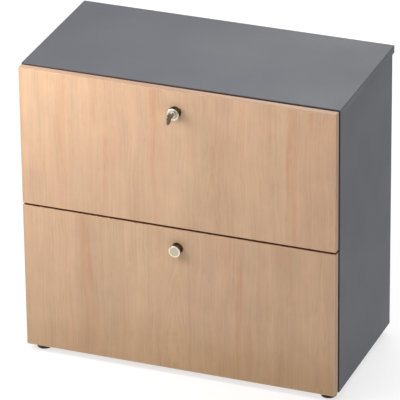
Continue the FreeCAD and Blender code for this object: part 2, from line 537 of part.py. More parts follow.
# ---------------------------------------------------------------- steel drawers
def steel_drawer(level, zb, fz0, fz1, front_tools):
    t = SHEET
    zt = zb + BOX_H
    zr = zb + RUNNER_UP
    xw = WALL_X
    xi = xw - t
    y0, y1 = FRONT_T, BOX_Y1
    wall = fuse([box(xi, xw, y0, y1, zb, zt),
                 box(xw - 23.3, xw, y0 + t, y1 - t, zt - t, zt),
                 box(xw - 15.3, xw, y0 + t, y1 - t, zb, zb + t)])
    wall = fillet_lines(wall, (0, 1, 0), [(xi, zt - t), (xi, zb + t)], 0.9)
    wall = fillet_lines(wall, (0, 1, 0), [(xw, zt), (xw, zb)], 1.1)
    wall_holes = [cyl((xi - 1, y, zr), (1, 0, 0), 2.05, 4) for y in (50.0, 190.0, 330.0)]
    screws = []
    for y in (50.0, 190.0, 330.0):
        screws += both([put(pan_screw(4.0, 2.0, 2.0, 4.6), (xi, y, zr), (-1, 0, 0))])
    right_wall = cut(wall, wall_holes)
    zc = CATCH_Z[level]
    catch = box(WALL_X, 377.6, 26, 52, zc, zc + 24)
    catch = fillet_lines(catch, (1, 0, 0), [(26, zc), (52, zc), (26, zc + 24), (52, zc + 24)], 2.5)
    catch = cut(catch, [box(360, 390, BAR_Y - 3.7, BAR_Y + 3.7, zc - 1, zc + 10), cyl((360, BAR_Y, zc + 10), (1, 0, 0), 3.7, 30)])
    for y in (39.8, 47.6):
        catch = catch.cut(cyl((360, y, zc + 18), (1, 0, 0), 1.52, 15.0))
        right_wall = right_wall.cut(cyl((xi - 1, y, zc + 18), (1, 0, 0), 1.52, 4))
        screws.append(put(pan_screw(3.2, 1.8, 1.5, 7.5), (xi, y, zc + 18), (-1, 0, 0)))
    node(level + "_catch", [catch])
    left_wall = mirror_x(cut(wall, wall_holes))
    node(level + "_drawer_side_walls", [right_wall, left_wall])

    # front and back walls, spot-welded between the side walls
    def end_wall(ya, yb, inward):
        """Plate between ya and yb, side and bottom flanges turned inward."""
        ylo, yhi = (yb, yb + 15) if inward > 0 else (ya - 15, ya)
        wlo, whi = (yb, yb + 12) if inward > 0 else (ya - 12, ya)
        plate = box(-xi, xi, ya, yb, zb, zt - t)
        fl = [box(xi - t, xi, ylo, yhi, zb + 2.6, zt - t - 2.4), box(-xi, -xi + t, ylo, yhi, zb + 2.6, zt - t - 2.4),
              box(-340, 340, wlo, whi, zt - 2 * t, zt - t), box(-350, 350, wlo, whi, zb, zb + t)]
        w = fuse([plate] + fl)
        yo = ya if inward > 0 else yb
        return fillet_lines(w, (1, 0, 0), [(yo, zt - t), (yo, zb)], 1.1)

    fw = end_wall(y0, y0 + t, 1)
    bw = end_wall(y1 - t, y1, -1)
    fholes, pilots = [], []
    for x in (-335.0, -112.0, 112.0, 335.0):
        for z in (zb + 30, zt - 34):
            fholes.append(cyl((x, y0 - 1, z), (0, 1, 0), 2.02, 4))
            pilots.append(cyl((x, y0 - 13.4, z), (0, 1, 0), 2.02, 14))
            screws.append(put(pan_screw(4.4, 2.3, 2.0, 14.0), (x, y0 + t, z), (0, 1, 0)))
    fw = cut(fw, fholes)
    node(level + "_drawer_end_walls", [fw, bw])

    floor = box(-xi + t + 0.1, xi - t - 0.1, y0 + t + 0.1, y1 - t - 0.1, zb + t, zb + t + 1.0)
    # two pressed stiffening beads in each half of the floor
    beads = []
    for x in (-276.0, -178.0, -80.0, 80.0, 178.0, 276.0):
        b = cyl((x, y0 + 45, zb + t + 1.0 - 3.2), (0, 1, 0), 5.4, y1 - y0 - 90)
        b = fuse([b, Part.makeSphere(5.4, V(x, y0 + 45, zb + t + 1.0 - 3.2)), Part.makeSphere(5.4, V(x, y1 - 45, zb + t + 1.0 - 3.2))])
        beads.append(b.common(box(x - 10, x + 10, 0, 400, zb + t, zb + t + 10)))
    floor = fuse([floor] + beads)
    node(level + "_drawer_floor", [floor])

    hat = fuse([box(-14, 14, y0 + t, y1 - t, zt - t, zt), box(-14, -14 + t, y0 + t, y1 - t, zt - 28, zt), box(14 - t, 14, y0 + t, y1 - t, zt - 28, zt)])
    # it passes over the lips of the front and back walls
    notch = [box(-20, 20, y0, y0 + t + 13.0, zt - 2 * t - 0.2, zt - t + 0.001), box(-20, 20, y1 - t - 13.0, y1, zt - 2 * t - 0.2, zt - t + 0.001)]
    hat = cut(hat, notch)
    hat = fillet_lines(hat, (0, 1, 0), [(-14, zt), (14, zt)], 1.1)
    node(level + "_centre_rail", solids(hat)[:1] if len(hat.Solids) == 1 else solids(hat))

    rib = 2.0
    cx = 13.0
    ox = cx + FILE_SPACING
    ya, yb = y0 + 5, y1 - 4
    centre = fuse([box(-cx - rib / 2, cx + rib / 2, y0 + 16, yb, zt, zt + 2),
                   box(-cx - rib / 2, -cx + rib / 2, y0 + 16, yb, zt, zt + RAIL_H),
                   box(cx - rib / 2, cx + rib / 2, y0 + 16, yb, zt, zt + RAIL_H)])
    centre = fillet_lines(centre, (0, 1, 0), [(s * (cx + k * rib / 2), zt + RAIL_H) for s in (1, -1) for k in (1, -1)], 0.7)
    outer = fuse([box(ox - rib / 2, 365.5, ya, yb, zt, zt + 2), box(ox - rib / 2, ox + rib / 2, ya, yb, zt, zt + RAIL_H)])
    outer = fillet_lines(outer, (0, 1, 0), [(ox + k * rib / 2, zt + RAIL_H) for k in (1, -1)], 0.7)
    node(level + "_file_rails", [centre, outer, mirror_x(outer)])

    # the drawer front, screwed on from inside
    core, strips = banded(-HX + FRONT_REVEAL, HX - FRONT_REVEAL, 0, FRONT_T, fz0, fz1, 1)
    node(level + "_front_panel", [cut(core, pilots + front_tools)])
    node(level + "_front_edging", strips)
    node(level + "_drawer_screws", screws)


lock_hole = cyl((0, -1, LOCK_Z), (0, 1, 0), 9.5, 30)
knob_hole = cyl((0, -1, KNOB_Z), (0, 1, 0), 2.25, 30)
steel_drawer("upper", LEVELS["upper"], FRONT_SPLIT_HI, FRONT_TOP, [lock_hole])
steel_drawer("lower", LEVELS["lower"], FRONT_BOTTOM, FRONT_SPLIT_LO, [knob_hole])

# ---------------------------------------------------------------- lower knob
R = KNOB_D / 2
knob = turned([(0, -KNOB_OUT), (R - 1.3, -KNOB_OUT), (R - 0.35, -KNOB_OUT + 0.5), (R, -KNOB_OUT + 1.3), (R, -KNOB_OUT + 5.0), (R - 0.5, -KNOB_OUT + 6.2),
               (R - 1.2, -9.5), (R - 1.4, -3.0), (R - 1.0, -0.4), (R - 1.0, 0), (2.05, 0), (2.05, -14.0), (0, -14.0)], 0, KNOB_Z)
node("lower_knob", [knob])
node("knob_screw", [put(pan_screw(4.4, 2.6, 2.0, 31.0), (0, FRONT_T, KNOB_Z), (0, 1, 0))])

# ---------------------------------------------------------------- lock in the upper front
yf = -LOCK_OUT
housing = turned([(7.06, yf + 0.6), (R - 3.2, yf), (R - 1.2, yf), (R - 0.3, yf + 0.5), (R, yf + 1.3), (R, -1.0), (R + 0.6, -0.4), (R + 0.6, 0), (9.4, 0), (9.4, 24.5), (7.06, 24.5)], 0, LOCK_Z)
node("lock_housing", [housing])
nut = cyl((0, FRONT_T, 0), (0, 1, 0), 12.8, 4.2)
hexn = Part.Face(Part.makePolygon([V(12.8 * math.cos(math.radians(a)), FRONT_T, 12.8 * math.sin(math.radians(a))) for a in range(0, 361, 60)])).extrude(V(0, 4.2, 0))
nut = hexn.cut(cyl((0, 0, 0), (0, 1, 0), 9.45, 40))
nut.translate(V(0, 0, LOCK_Z))
node("lock_nut", [nut])
plug = turned([(0, yf - 0.3), (6.5, yf - 0.3), (7.0, yf + 0.2), (7.0, 26.0), (2.02, 26.0), (2.02, 13.0), (0, 13.0)], 0, LOCK_Z)
plug = plug.cut(box(-1.25, 1.25, yf - 5, 8.0, LOCK_Z - 4.2, LOCK_Z + 4.2))
node("lock_plug", [plug])
px, pz = PIN_X, LOCK_Z + LOCK_TRAVEL / 2
cam = fuse([
    cyl((0, 26.0, LOCK_Z), (0, 1, 0), 7.0, 2.0),
    arm_plate((0, LOCK_Z), (px, pz), 6.0, 3.2, 26.0, 28.0), cyl((px, 26.0, pz), (0, 1, 0), 3.2, 2.0),
    cyl((px, 27.5, pz), (0, 1, 0), 2.0, 14.5),
])
cam = cam.cut(cyl((0, 20, LOCK_Z), (0, 1, 0), 2.02, 12))
cam = cam.makeChamfer(0.6, [e for e in cam.Edges if e.Closed and e.BoundBox.YMin > 41.5])
node("lock_cam", [cam])
node("cam_screw", [put(pan_screw(3.6, 2.2, 1.98, 12.0), (0, 28.0, LOCK_Z), (0, 1, 0))])

# key: flat blade in the plug, rounded bow in front of it
blade = box(-1.1, 1.1, yf - 4.0, 6.5, -3.9, 3.9)
for y, d in ((3.0, 1.4), (-1.5, 2.0), (-6.0, 1.0), (-10.5, 1.7)):
    blade = blade.cut(box(-3, 3, y - 1.6, y + 1.6, 3.9 - d, 6))
neck = box(-1.1, 1.1, -KEY_OUT + 22, yf - 1.2, -5.2, 5.2)
bow = fillet_lines(box(-1.1, 1.1, -KEY_OUT, -KEY_OUT + BOW_L, -BOW_H / 2, BOW_H / 2), (1, 0, 0),
                   [(-KEY_OUT, -BOW_H / 2), (-KEY_OUT, BOW_H / 2), (-KEY_OUT + BOW_L, -BOW_H / 2), (-KEY_OUT + BOW_L, BOW_H / 2)], 9.0)
key = fuse([blade, neck, bow])
key = key.cut(cyl((-5, -KEY_OUT + 6.5, 0), (1, 0, 0), 2.2, 10))
key.translate(V(0, 0, LOCK_Z))
node("key", [key])

node("carcass_screws", carcass_screws)

# ---------------------------------------------------------------- write
if __name__ == "__main__":
    os.makedirs("parts", exist_ok=True)
    for f in os.listdir("parts"):
        if f.endswith(".step") and f[:-5] not in parts:
            os.remove(os.path.join("parts", f))
    lo, hi = [1e9] * 3, [-1e9] * 3
    for name, items in sorted(parts.items()):
        moved = []
        for s in items:
            s = s.copy()
            s.translate(V(0, Y_SHIFT, 0))
            if not s.isValid() or s.Volume <= 0:
                print("PROBLEM", name, s.isValid(), s.Volume)
            moved.append(s)
        c = moved[0] if len(moved) == 1 else Part.makeCompound(moved)
        b = c.BoundBox
        for k, (a, z) in enumerate(((b.XMin, b.XMax), (b.YMin, b.YMax), (b.ZMin, b.ZMax))):
            lo[k], hi[k] = min(lo[k], a), max(hi[k], z)
        c.exportStep(os.path.join("parts", name + ".step"))
        print("%-28s %3d solids  %8.1f cm3  X %.1f..%.1f  Y %.1f..%.1f  Z %.1f..%.1f" % (name, len(moved), sum(s.Volume for s in moved) / 1000, b.XMin, b.XMax, b.YMin, b.YMax, b.ZMin, b.ZMax))
    print(len(parts), "nodes; overall", [round(v, 2) for v in lo], [round(v, 2) for v in hi])
    print("lock travel %.3f  crank %.3f deg  ratio bar %.6f m/rad  crank ratio %.6f" % (LOCK_TRAVEL, 2 * CRANK_HALF, LOCK_TRAVEL / 1000 / (math.pi / 2), 2 * CRANK_HALF / 90))
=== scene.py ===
import bpy
import json
import math
from mathutils import Matrix, Vector


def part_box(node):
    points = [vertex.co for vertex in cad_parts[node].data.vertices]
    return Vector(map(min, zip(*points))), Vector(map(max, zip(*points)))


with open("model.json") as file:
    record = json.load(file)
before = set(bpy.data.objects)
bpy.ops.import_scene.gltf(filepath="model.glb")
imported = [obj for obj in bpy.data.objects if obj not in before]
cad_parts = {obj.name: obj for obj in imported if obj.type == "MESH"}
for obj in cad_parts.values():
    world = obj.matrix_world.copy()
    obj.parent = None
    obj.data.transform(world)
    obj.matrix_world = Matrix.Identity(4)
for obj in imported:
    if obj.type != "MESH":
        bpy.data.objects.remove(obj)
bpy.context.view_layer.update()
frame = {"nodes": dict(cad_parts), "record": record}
NODES = frame["nodes"]

FRONT_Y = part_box("upper_front_panel")[0][1]      # face of the drawer fronts
TOP_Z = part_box("top_panel")[1][2]
FOOT_Z = 0.020                                   # underside of the carcass
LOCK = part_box("lock_plug")
LOCK_C = Vector(((LOCK[0][0] + LOCK[1][0]) / 2, 0, (LOCK[0][2] + LOCK[1][2]) / 2))
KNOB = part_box("lower_knob")
KNOB_C = Vector(((KNOB[0][0] + KNOB[1][0]) / 2, 0, (KNOB[0][2] + KNOB[1][2]) / 2))


# ---------------------------------------------------------------------------
# node graphs
class Graph:
    """A material with a Principled shader; values may be sockets or numbers."""

    def __init__(self, name):
        self.mat = bpy.data.materials.new(name)
        self.mat.use_nodes = True
        self.t = self.mat.node_tree
        self.t.nodes.clear()
        self.out = self.t.nodes.new("ShaderNodeOutputMaterial")
        self.bsdf = self.t.nodes.new("ShaderNodeBsdfPrincipled")
        self.t.links.new(self.bsdf.outputs[0], self.out.inputs[0])
        co = self.t.nodes.new("ShaderNodeTexCoord")
        self.P = co.outputs["Object"]
        self.N = co.outputs["Normal"]

    def put(self, socket, v):
        if isinstance(v, bpy.types.NodeSocket):
            self.t.links.new(v, socket)
        elif isinstance(v, (tuple, list)) and socket.type == "RGBA":
            socket.default_value = (*v[:3], 1.0)
        else:
            socket.default_value = v

    def set(self, **kw):
        for k, v in kw.items():
            self.put(self.bsdf.inputs[k.replace("_", " ")], v)

    def math(self, op, a, b=0.0, c=0.0, clamp=False):
        n = self.t.nodes.new("ShaderNodeMath")
        n.operation = op
        n.use_clamp = clamp
        for s, v in zip(n.inputs, (a, b, c)):
            self.put(s, v)
        return n.outputs[0]

    def add(self, a, b): return self.math("ADD", a, b)
    def sub(self, a, b): return self.math("SUBTRACT", a, b)
    def mul(self, a, b): return self.math("MULTIPLY", a, b)
    def clamp(self, a): return self.math("ADD", a, 0.0, clamp=True)

    def vmath(self, op, a, b=(0, 0, 0)):
        n = self.t.nodes.new("ShaderNodeVectorMath")
        n.operation = op
        self.put(n.inputs[0], a)
        self.put(n.inputs[1], b)
        return n.outputs["Value"] if op in ("LENGTH", "DOT_PRODUCT", "DISTANCE") else n.outputs[0]

    def vec(self, x, y, z):
        n = self.t.nodes.new("ShaderNodeCombineXYZ")
        for s, v in zip(n.inputs, (x, y, z)):
            self.put(s, v)
        return n.outputs[0]

    def sep(self, v):
        n = self.t.nodes.new("ShaderNodeSeparateXYZ")
        self.put(n.inputs[0], v)
        return n.outputs[0], n.outputs[1], n.outputs[2]

    def scaled(self, sx, sy, sz, ox=0.0, oy=0.0, oz=0.0):
        """Object coordinates in metres, stretched per axis and shifted."""
        n = self.t.nodes.new("ShaderNodeMapping")
        self.put(n.inputs["Vector"], self.P)
        n.inputs["Location"].default_value = (ox, oy, oz)
        n.inputs["Scale"].default_value = (sx, sy, sz)
        return n.outputs[0]

    def noise(self, v, scale=1.0, detail=2.0, rough=0.5, dist=0.0):
        n = self.t.nodes.new("ShaderNodeTexNoise")
        self.put(n.inputs["Vector"], v)
        n.inputs["Scale"].default_value = scale
        n.inputs["Detail"].default_value = detail
        n.inputs["Roughness"].default_value = rough
        n.inputs["Distortion"].default_value = dist
        return n.outputs["Fac"]

    def voronoi(self, v, scale=1.0, feature="F1", out="Distance"):
        n = self.t.nodes.new("ShaderNodeTexVoronoi")
        n.feature = feature
        self.put(n.inputs["Vector"], v)
        n.inputs["Scale"].default_value = scale
        return n.outputs[out]

    def rand(self, w):
        n = self.t.nodes.new("ShaderNodeTexWhiteNoise")
        n.noise_dimensions = "1D"
        self.put(n.inputs["W"], w)
        return n.outputs["Value"]

    def span(self, v, a, b, c=0.0, d=1.0, smooth=False):
        n = self.t.nodes.new("ShaderNodeMapRange")
        n.clamp = True
        if smooth:
            n.interpolation_type = "SMOOTHSTEP"
        for s, w in zip(n.inputs, (v, a, b, c, d)):
            self.put(s, w)
        return n.outputs[0]

    def mixc(self, f, a, b, mode="MIX"):
        n = self.t.nodes.new("ShaderNodeMix")
        n.data_type = "RGBA"
        n.blend_type = mode
        self.put(n.inputs[0], f)
        self.put(n.inputs[6], a)
        self.put(n.inputs[7], b)
        return n.outputs[2]

    def mixf(self, f, a, b):
        n = self.t.nodes.new("ShaderNodeMix")
        n.data_type = "FLOAT"
        self.put(n.inputs[0], f)
        self.put(n.inputs[2], a)
        self.put(n.inputs[3], b)
        return n.outputs[0]

    def shade(self, colour, factor):
        """Colour times a grey factor around 1."""
        return self.mixc(1.0, colour, self.vec(factor, factor, factor), "MULTIPLY")

    def bump(self, height, distance, strength=1.0, normal=None):
        n = self.t.nodes.new("ShaderNodeBump")
        n.inputs["Strength"].default_value = strength
        n.inputs["Distance"].default_value = distance
        self.put(n.inputs["Height"], height)
        if normal is not None:
            self.put(n.inputs["Normal"], normal)
        return n.outputs[0]

    def edge(self, radius, gain=3.0):
        """0 on flat faces, 1 on outer and inner arrises within the radius."""
        b = self.t.nodes.new("ShaderNodeBevel")
        b.samples = 4
        b.inputs["Radius"].default_value = radius
        geo = self.t.nodes.new("ShaderNodeNewGeometry")
        d = self.vmath("DOT_PRODUCT", b.outputs[0], geo.outputs["True Normal"])
        return self.clamp(self.mul(self.sub(1.0, d), gain))

    def gap_shade(self, reach, lo=0.62, hi=0.20):
        """0 in the open, 1 deep in a narrow gap: the mask for painted shade inside the joints, taken from ambient
        occlusion.
        """
        n = self.t.nodes.new("ShaderNodeAmbientOcclusion")
        n.samples = 8
        n.inputs["Distance"].default_value = reach
        return self.span(n.outputs["AO"], lo, hi, 0.0, 1.0)


# ---------------------------------------------------------------------------
# wood decor of the fronts: printed beech in jointed staves
WOOD = (0.576, 0.369, 0.232)
WOOD_PINK = (0.578, 0.343, 0.218)
WOOD_PALE = (0.604, 0.410, 0.256)
WOOD_DARK = (0.400, 0.212, 0.118)
WOOD_FLAME = (0.548, 0.290, 0.163)


def beech(name, seed, strip=False, staves=(), tones=(0.0,), hearts=(), flames=(), foot=0.0):
    """staves: joint positions along X with one tone per stave; hearts: (x, peak z, half width, period) of arched
    figure; flames: (x, z0, z1, half width, lean, strength) of darker pinkish figure; foot: strength of the painted
    shade that darkens and warms the board towards the floor."""
    g = Graph(name)
    x, y, z = g.sep(g.P)
    if strip:
        nx, ny, nz = g.sep(g.N)
        flat = g.span(g.math("ABSOLUTE", nz), 0.4, 0.7)
        u = g.mixf(flat, g.add(x, y), y)
        v = g.mixf(flat, z, x)
    else:
        u, v = x, z

    def field(su, sv, o, detail=2.0, rough=0.5, along=None):
        return g.noise(g.vec(g.mul(along or u, su), seed + o, g.mul(v, sv)), 1.0, detail, rough)

    wob = g.add(g.mul(g.sub(field(6.0, 4.2, 0.0), 0.5), 0.024), g.mul(g.sub(field(24.0, 15.0, 17.0), 0.5), 0.0070))
    uw = g.add(u, wob)

    # staves: a small step of tone and of the grain's phase at each joint
    tone, phase, joint = tones[0], 0.0, 0.0
    for k, b in enumerate(staves):
        step = g.math("GREATER_THAN", u, b)
        tone = g.add(tone, g.mul(step, tones[k + 1] - tones[k]))
        phase = g.add(phase, g.mul(step, 0.37 + 0.21 * k))
        joint = g.add(joint, g.span(g.math("ABSOLUTE", g.sub(u, b)), 0.0, 0.0009, 1.0, 0.0))

    # growth lines: straight and slightly wavy, broken into strokes
    drift = field(11.0, 0.8, 5.0)
    ring = g.add(g.math("DIVIDE", uw, 0.0088), g.add(g.mul(drift, 3.4), phase))
    ring = g.add(ring, g.mul(field(75.0, 8.0, 4.0, 3.0), 1.5))
    saw = g.math("FRACT", ring)
    late = g.mul(g.math("POWER", saw, 2.4), g.span(saw, 0.90, 1.0, 1.0, 0.0))
    stroke = field(38.0, 7.0, 9.0, 3.0)
    late = g.mul(late, g.span(stroke, 0.42, 0.68, 0.0, 1.0))

    # hearts: nested arches where the saw cut touches the rings
    for hx, hz, half, period in hearts:
        d = g.sub(uw, hx)
        hyp = g.math("SQRT", g.add(g.mul(d, d), 0.010 ** 2))
        rr = g.add(hyp, g.mul(g.sub(v, hz), 0.115))
        rr = g.add(rr, g.mul(g.sub(field(60.0, 26.0, 31.0, 3.0), 0.5), 0.0100))
        s = g.math("FRACT", g.math("DIVIDE", rr, period))
        lines = g.mul(g.math("POWER", s, 1.8), g.span(s, 0.86, 1.0, 1.0, 0.0))
        w = g.mul(g.span(g.math("ABSOLUTE", g.sub(u, hx)), half * 0.65, half, 1.0, 0.0, True), g.span(v, hz - 0.03, hz + 0.05, 1.0, 0.0, True))
        lines = g.mul(lines, g.span(field(44.0, 16.0, 33.0, 2.0), 0.34, 0.62, 0.15, 0.85))
        late = g.mixf(w, late, lines)

    # streaks from broad to hair-fine
    band = field(13.0, 1.1, 1.0, 1.0, along=uw)
    broad = field(48.0, 1.8, 11.0, 3.0, along=uw)
    streak = field(150.0, 5.5, 2.0, 3.0, 0.6, along=uw)
    hair = field(700.0, 22.0, 6.0, 3.0, 0.6, along=uw)
    patch = field(16.0, 12.0, 13.0, 3.0, 0.6)

    # short dashes of the pores and the paler ray flecks
    dash = g.span(field(340.0, 46.0, 3.0, 1.0), 0.60, 0.72)
    ray = g.span(field(620.0, 150.0, 23.0, 1.0), 0.66, 0.76)
    gate = g.span(field(30.0, 7.0, 7.0, 1.0), 0.40, 0.62, 0.15, 1.0)
    dash, ray = g.mul(dash, gate), g.mul(ray, gate)

    colour = g.mixc(g.span(band, 0.36, 0.64), WOOD_PINK, WOOD_PALE)
    colour = g.mixc(0.62, colour, WOOD)
    pink = g.span(field(26.0, 1.7, 21.0, 2.0, along=uw), 0.55, 0.74, 0.0, 0.60)
    colour = g.mixc(pink, colour, WOOD_FLAME)
    for fx, z0, z1, half, lean, amount in flames:
        off = g.sub(g.sub(uw, fx), g.mul(g.sub(v, (z0 + z1) / 2), lean))
        w = g.span(g.math("ABSOLUTE", off), half * 0.25, half, 1.0, 0.0, True)
        w = g.mul(w, g.mul(g.span(v, z0 - 0.03, z0 + 0.05), g.span(v, z1 - 0.05, z1 + 0.03, 1.0, 0.0)))
        w = g.mul(w, g.span(field(90.0, 9.0, 27.0, 3.0), 0.34, 0.60, 0.35, 1.0))
        colour = g.mixc(g.mul(w, amount), colour, WOOD_FLAME)
    f = g.add(1.0, g.mul(g.sub(streak, 0.5), 0.24))
    f = g.mul(f, g.add(1.0, g.mul(g.sub(broad, 0.5), 0.19)))
    f = g.mul(f, g.add(1.0, g.mul(g.sub(hair, 0.5), 0.12)))
    f = g.mul(f, g.add(1.0, g.mul(g.sub(patch, 0.5), 0.26)))
    f = g.mul(f, g.add(1.0, tone))
    # painted shade: the board darkens towards the floor, most to the right
    if foot:
        floor_shade_mask = g.mul(g.span(z, 0.20, 0.02, 0.0, 1.0, True), g.span(x, -0.40, 0.10, 0.3, 1.0))
        f = g.mul(f, g.sub(1.0, g.mul(floor_shade_mask, foot)))
    f = g.mul(f, g.sub(1.0, g.mul(late, 0.15)))
    f = g.mul(f, g.sub(1.0, g.mul(dash, 0.10)))
    f = g.mul(f, g.add(1.0, g.mul(ray, 0.05)))
    f = g.mul(f, g.sub(1.0, g.mul(g.clamp(joint), 0.07)))
    colour = g.shade(colour, f)
    # painted shade: the darkened zone near the floor also turns warmer
    if foot:
        colour = g.mixc(floor_shade_mask, colour, g.mixc(1.0, colour, (1.02, 0.98, 0.84), "MULTIPLY"))
    colour = g.mixc(g.mul(late, 0.05), colour, WOOD_DARK)
    worn = g.edge(0.0010, 2.2)
    scuff = g.span(g.noise(g.scaled(55, 55, 55), 1.0, 3.0), 0.40, 0.66)
    colour = g.mixc(g.mul(worn, g.mul(scuff, 0.38)), colour, (0.80, 0.62, 0.46))
    # painted shade: deep in the joints the wood darkens to a dark brown
    colour = g.mixc(g.gap_shade(0.022), colour, (0.140, 0.036, 0.004))

    rough = g.add(0.47, g.mul(g.sub(streak, 0.5), 0.16))
    rough = g.add(rough, g.mul(dash, 0.10))
    rough = g.add(rough, g.mul(g.sub(g.noise(g.scaled(9, 9, 9), 1.0, 3.0), 0.5), 0.10))
    h = g.sub(g.mul(hair, 0.5), g.mul(dash, 0.6))
    h = g.sub(h, g.mul(late, 0.3))
    g.set(Base_Color=colour, Roughness=rough, Normal=g.bump(h, 0.00010, 0.55))
    g.bsdf.inputs["Specular IOR Level"].default_value = 0.42
    return g.mat


# grey melamine board: pearl-embossed, with a fine mottle
def melamine(name, base, seed=0.0, open_at=0.62, deep_at=0.20):
    g = Graph(name)
    fine = g.noise(g.scaled(1, 1, 1, seed, 0, 0), 950.0, 2.0, 0.6)
    mott = g.noise(g.scaled(1, 1, 1, 0, seed, 0), 120.0, 3.0, 0.6)
    wide = g.noise(g.scaled(1, 1, 1, 0, 0, seed), 7.0, 3.0, 0.5)
    f = g.add(1.0, g.mul(g.sub(fine, 0.5), 0.16))
    f = g.mul(f, g.add(1.0, g.mul(g.sub(mott, 0.5), 0.10)))
    f = g.mul(f, g.add(1.0, g.mul(g.sub(wide, 0.5), 0.07)))
    colour = g.shade(base, f)
    speck = g.span(g.noise(g.scaled(1, 1, 1, 3, seed, 5), 1700.0, 0.0), 0.70, 0.78)
    colour = g.mixc(g.mul(speck, 0.30), colour, tuple(min(1, c * 1.7) for c in base))
    # painted highlight on every arris (the fixed 0.14), plus lighter scuffed wear where the noise allows
    worn = g.edge(0.0011, 2.4)
    scuff = g.span(g.noise(g.scaled(48, 48, 48), 1.0, 3.0), 0.42, 0.66)
    colour = g.mixc(g.mul(worn, g.add(0.14, g.mul(scuff, 0.34))), colour, tuple(min(1, c * 2.1) for c in base))
    # painted shade: deep in the joints the grey darkens to a dark brown
    colour = g.mixc(g.gap_shade(0.022, open_at, deep_at), colour, (0.078, 0.034, 0.012))
    rough = g.add(0.50, g.mul(g.sub(wide, 0.5), 0.16))
    rough = g.add(rough, g.mul(g.sub(fine, 0.5), 0.12))
    pearl = g.noise(g.scaled(1, 1, 1), 620.0, 1.0, 0.4)
    g.set(Base_Color=colour, Roughness=rough, Normal=g.bump(pearl, 0.00016, 0.5))
    g.bsdf.inputs["Specular IOR Level"].default_value = 0.41
    return g.mat


def back_board(name, base):
    """Thin fibreboard, printed grey on both faces; a little flatter and drier than the melamine."""
    g = Graph(name)
    fibre = g.noise(g.scaled(1, 1, 1), 300.0, 4.0, 0.65, 0.6)
    wide = g.noise(g.scaled(1, 1, 1, 0, 0, 4), 5.0, 3.0)
    f = g.mul(g.add(1.0, g.mul(g.sub(fibre, 0.5), 0.16)), g.add(1.0, g.mul(g.sub(wide, 0.5), 0.10)))
    colour = g.shade(base, f)
    worn = g.edge(0.0012, 2.4)
    colour = g.mixc(g.mul(worn, 0.35), colour, (0.36, 0.27, 0.18))
    rough = g.add(0.58, g.mul(g.sub(fibre, 0.5), 0.14))
    g.set(Base_Color=colour, Roughness=rough, Normal=g.bump(fibre, 0.00014, 0.5))
    return g.mat


def dowel(name):
    g = Graph(name)
    s = g.noise(g.scaled(60, 900, 900), 1.0, 3.0, 0.6)
    colour = g.mixc(g.span(s, 0.35, 0.65), (0.42, 0.26, 0.13), (0.62, 0.43, 0.25))
    g.set(Base_Color=colour, Roughness=g.add(0.55, g.mul(g.sub(s, 0.5), 0.2)), Normal=g.bump(s, 0.0002, 0.6))
    return g.mat


# powder coat on folded sheet: orange peel, slightly thinner on the folds
def powder(name, base):
    g = Graph(name)
    peel = g.noise(g.scaled(1, 1, 1), 430.0, 2.0, 0.45)
    fine = g.noise(g.scaled(1, 1, 1, 2, 0, 0), 1600.0, 1.0)
    wide = g.noise(g.scaled(1, 1, 1, 0, 6, 0), 6.0, 3.0)
    f = g.mul(g.add(1.0, g.mul(g.sub(fine, 0.5), 0.10)), g.add(1.0, g.mul(g.sub(wide, 0.5), 0.07)))
    colour = g.shade(base, f)
    worn = g.edge(0.0009, 2.0)
    scuff = g.span(g.noise(g.scaled(70, 70, 70), 1.0, 4.0), 0.50, 0.66)
    colour = g.mixc(g.mul(worn, g.mul(scuff, 0.5)), colour, (0.30, 0.31, 0.32))
    rough = g.add(0.38, g.mul(g.sub(peel, 0.5), 0.16))
    rough = g.add(rough, g.mul(g.sub(wide, 0.5), 0.12))
    g.set(Base_Color=colour, Roughness=rough, Normal=g.bump(peel, 0.00022, 0.45))
    g.bsdf.inputs["Specular IOR Level"].default_value = 0.5
    return g.mat


# zinc plate: rolled and plated steel with soft patches and drawing lines along Y
def zinc(name, base=(0.56, 0.58, 0.60), rough0=0.34, along="y"):
    g = Graph(name)
    st = {"x": (25, 900, 900), "y": (900, 25, 900), "z": (900, 900, 25)}[along]
    draw = g.noise(g.scaled(*st), 1.0, 3.0, 0.6)
    patch = g.voronoi(g.scaled(1, 1, 1), 170.0, out="Color")
    pv = g.sep(patch)[0]
    wide = g.noise(g.scaled(1, 1, 1, 0, 0, 2), 30.0, 3.0)
    colour = g.mixc(g.span(wide, 0.38, 0.62), base, tuple(c * k for c, k in zip(base, (1.05, 1.0, 0.90))))
    f = g.mul(g.add(1.0, g.mul(g.sub(draw, 0.5), 0.22)), g.add(1.0, g.mul(g.sub(pv, 0.5), 0.10)))
    colour = g.shade(colour, f)
    worn = g.edge(0.0005, 2.2)
    colour = g.mixc(g.mul(worn, 0.45), colour, (0.80, 0.80, 0.80))
    rough = g.add(rough0, g.mul(g.sub(draw, 0.5), 0.20))
    rough = g.add(rough, g.mul(g.sub(pv, 0.5), 0.10))
    rough = g.add(rough, g.mul(g.sub(wide, 0.5), 0.18))
    g.set(Base_Color=colour, Roughness=rough, Normal=g.bump(draw, 0.00003, 0.5))
    g.bsdf.inputs["Metallic"].default_value = 1.0
    return g.mat


def cast_zinc(name):
    g = Graph(name)
    grain = g.noise(g.scaled(1, 1, 1), 900.0, 3.0, 0.6)
    wide = g.noise(g.scaled(1, 1, 1, 4, 0, 0), 60.0, 2.0)
    colour = g.shade((0.50, 0.51, 0.53), g.add(1.0, g.mul(g.sub(grain, 0.5), 0.30)))
    worn = g.edge(0.0005, 2.2)
    colour = g.mixc(g.mul(worn, 0.4), colour, (0.78, 0.78, 0.78))
    rough = g.add(0.46, g.mul(g.sub(wide, 0.5), 0.25))
    g.set(Base_Color=colour, Roughness=rough, Normal=g.bump(grain, 0.00008, 0.6))
    g.bsdf.inputs["Metallic"].default_value = 1.0
    return g.mat


